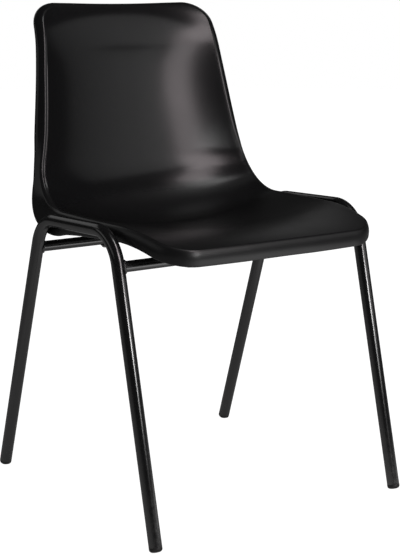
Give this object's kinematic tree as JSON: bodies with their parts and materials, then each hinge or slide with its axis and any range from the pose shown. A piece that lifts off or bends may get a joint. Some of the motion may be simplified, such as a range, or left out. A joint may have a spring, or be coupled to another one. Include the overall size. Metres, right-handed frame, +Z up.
{
  "type": "choir chair",
  "caption": "Stacking chair with a one-piece moulded bucket shell and rolled rim, screwed to a welded frame of bent round steel tube with plastic feet.",
  "frame": {"origin": "on the floor, midway between the four feet", "axes": "+Z up; the chair faces -Y; +X is to the right for someone who looks at its front"},
  "size_m": [0.4582, 0.468, 0.7391],
  "materials": {
    "shell_plastic": "satin black moulded polypropylene, fine grain",
    "frame_enamel": "gloss black powder coat",
    "foot_plastic": "black moulded plastic",
    "screw_steel": "bright zinc plate",
    "washer_plastic": "black nylon"
  },
  "bodies": {
    "root": {"seat_shell": "shell_plastic", "left_side_frame": "frame_enamel", "right_side_frame": "frame_enamel", "front_cross_rail": "frame_enamel", "rear_cross_rail": "frame_enamel", "front_left_foot": "foot_plastic", "front_right_foot": "foot_plastic", "rear_left_foot": "foot_plastic", "rear_right_foot": "foot_plastic", "front_left_screw": "screw_steel", "front_right_screw": "screw_steel", "rear_left_screw": "screw_steel", "rear_right_screw": "screw_steel", "front_left_washer": "washer_plastic", "front_right_washer": "washer_plastic", "rear_left_washer": "washer_plastic", "rear_right_washer": "washer_plastic"}
  },
  "joints": []
}
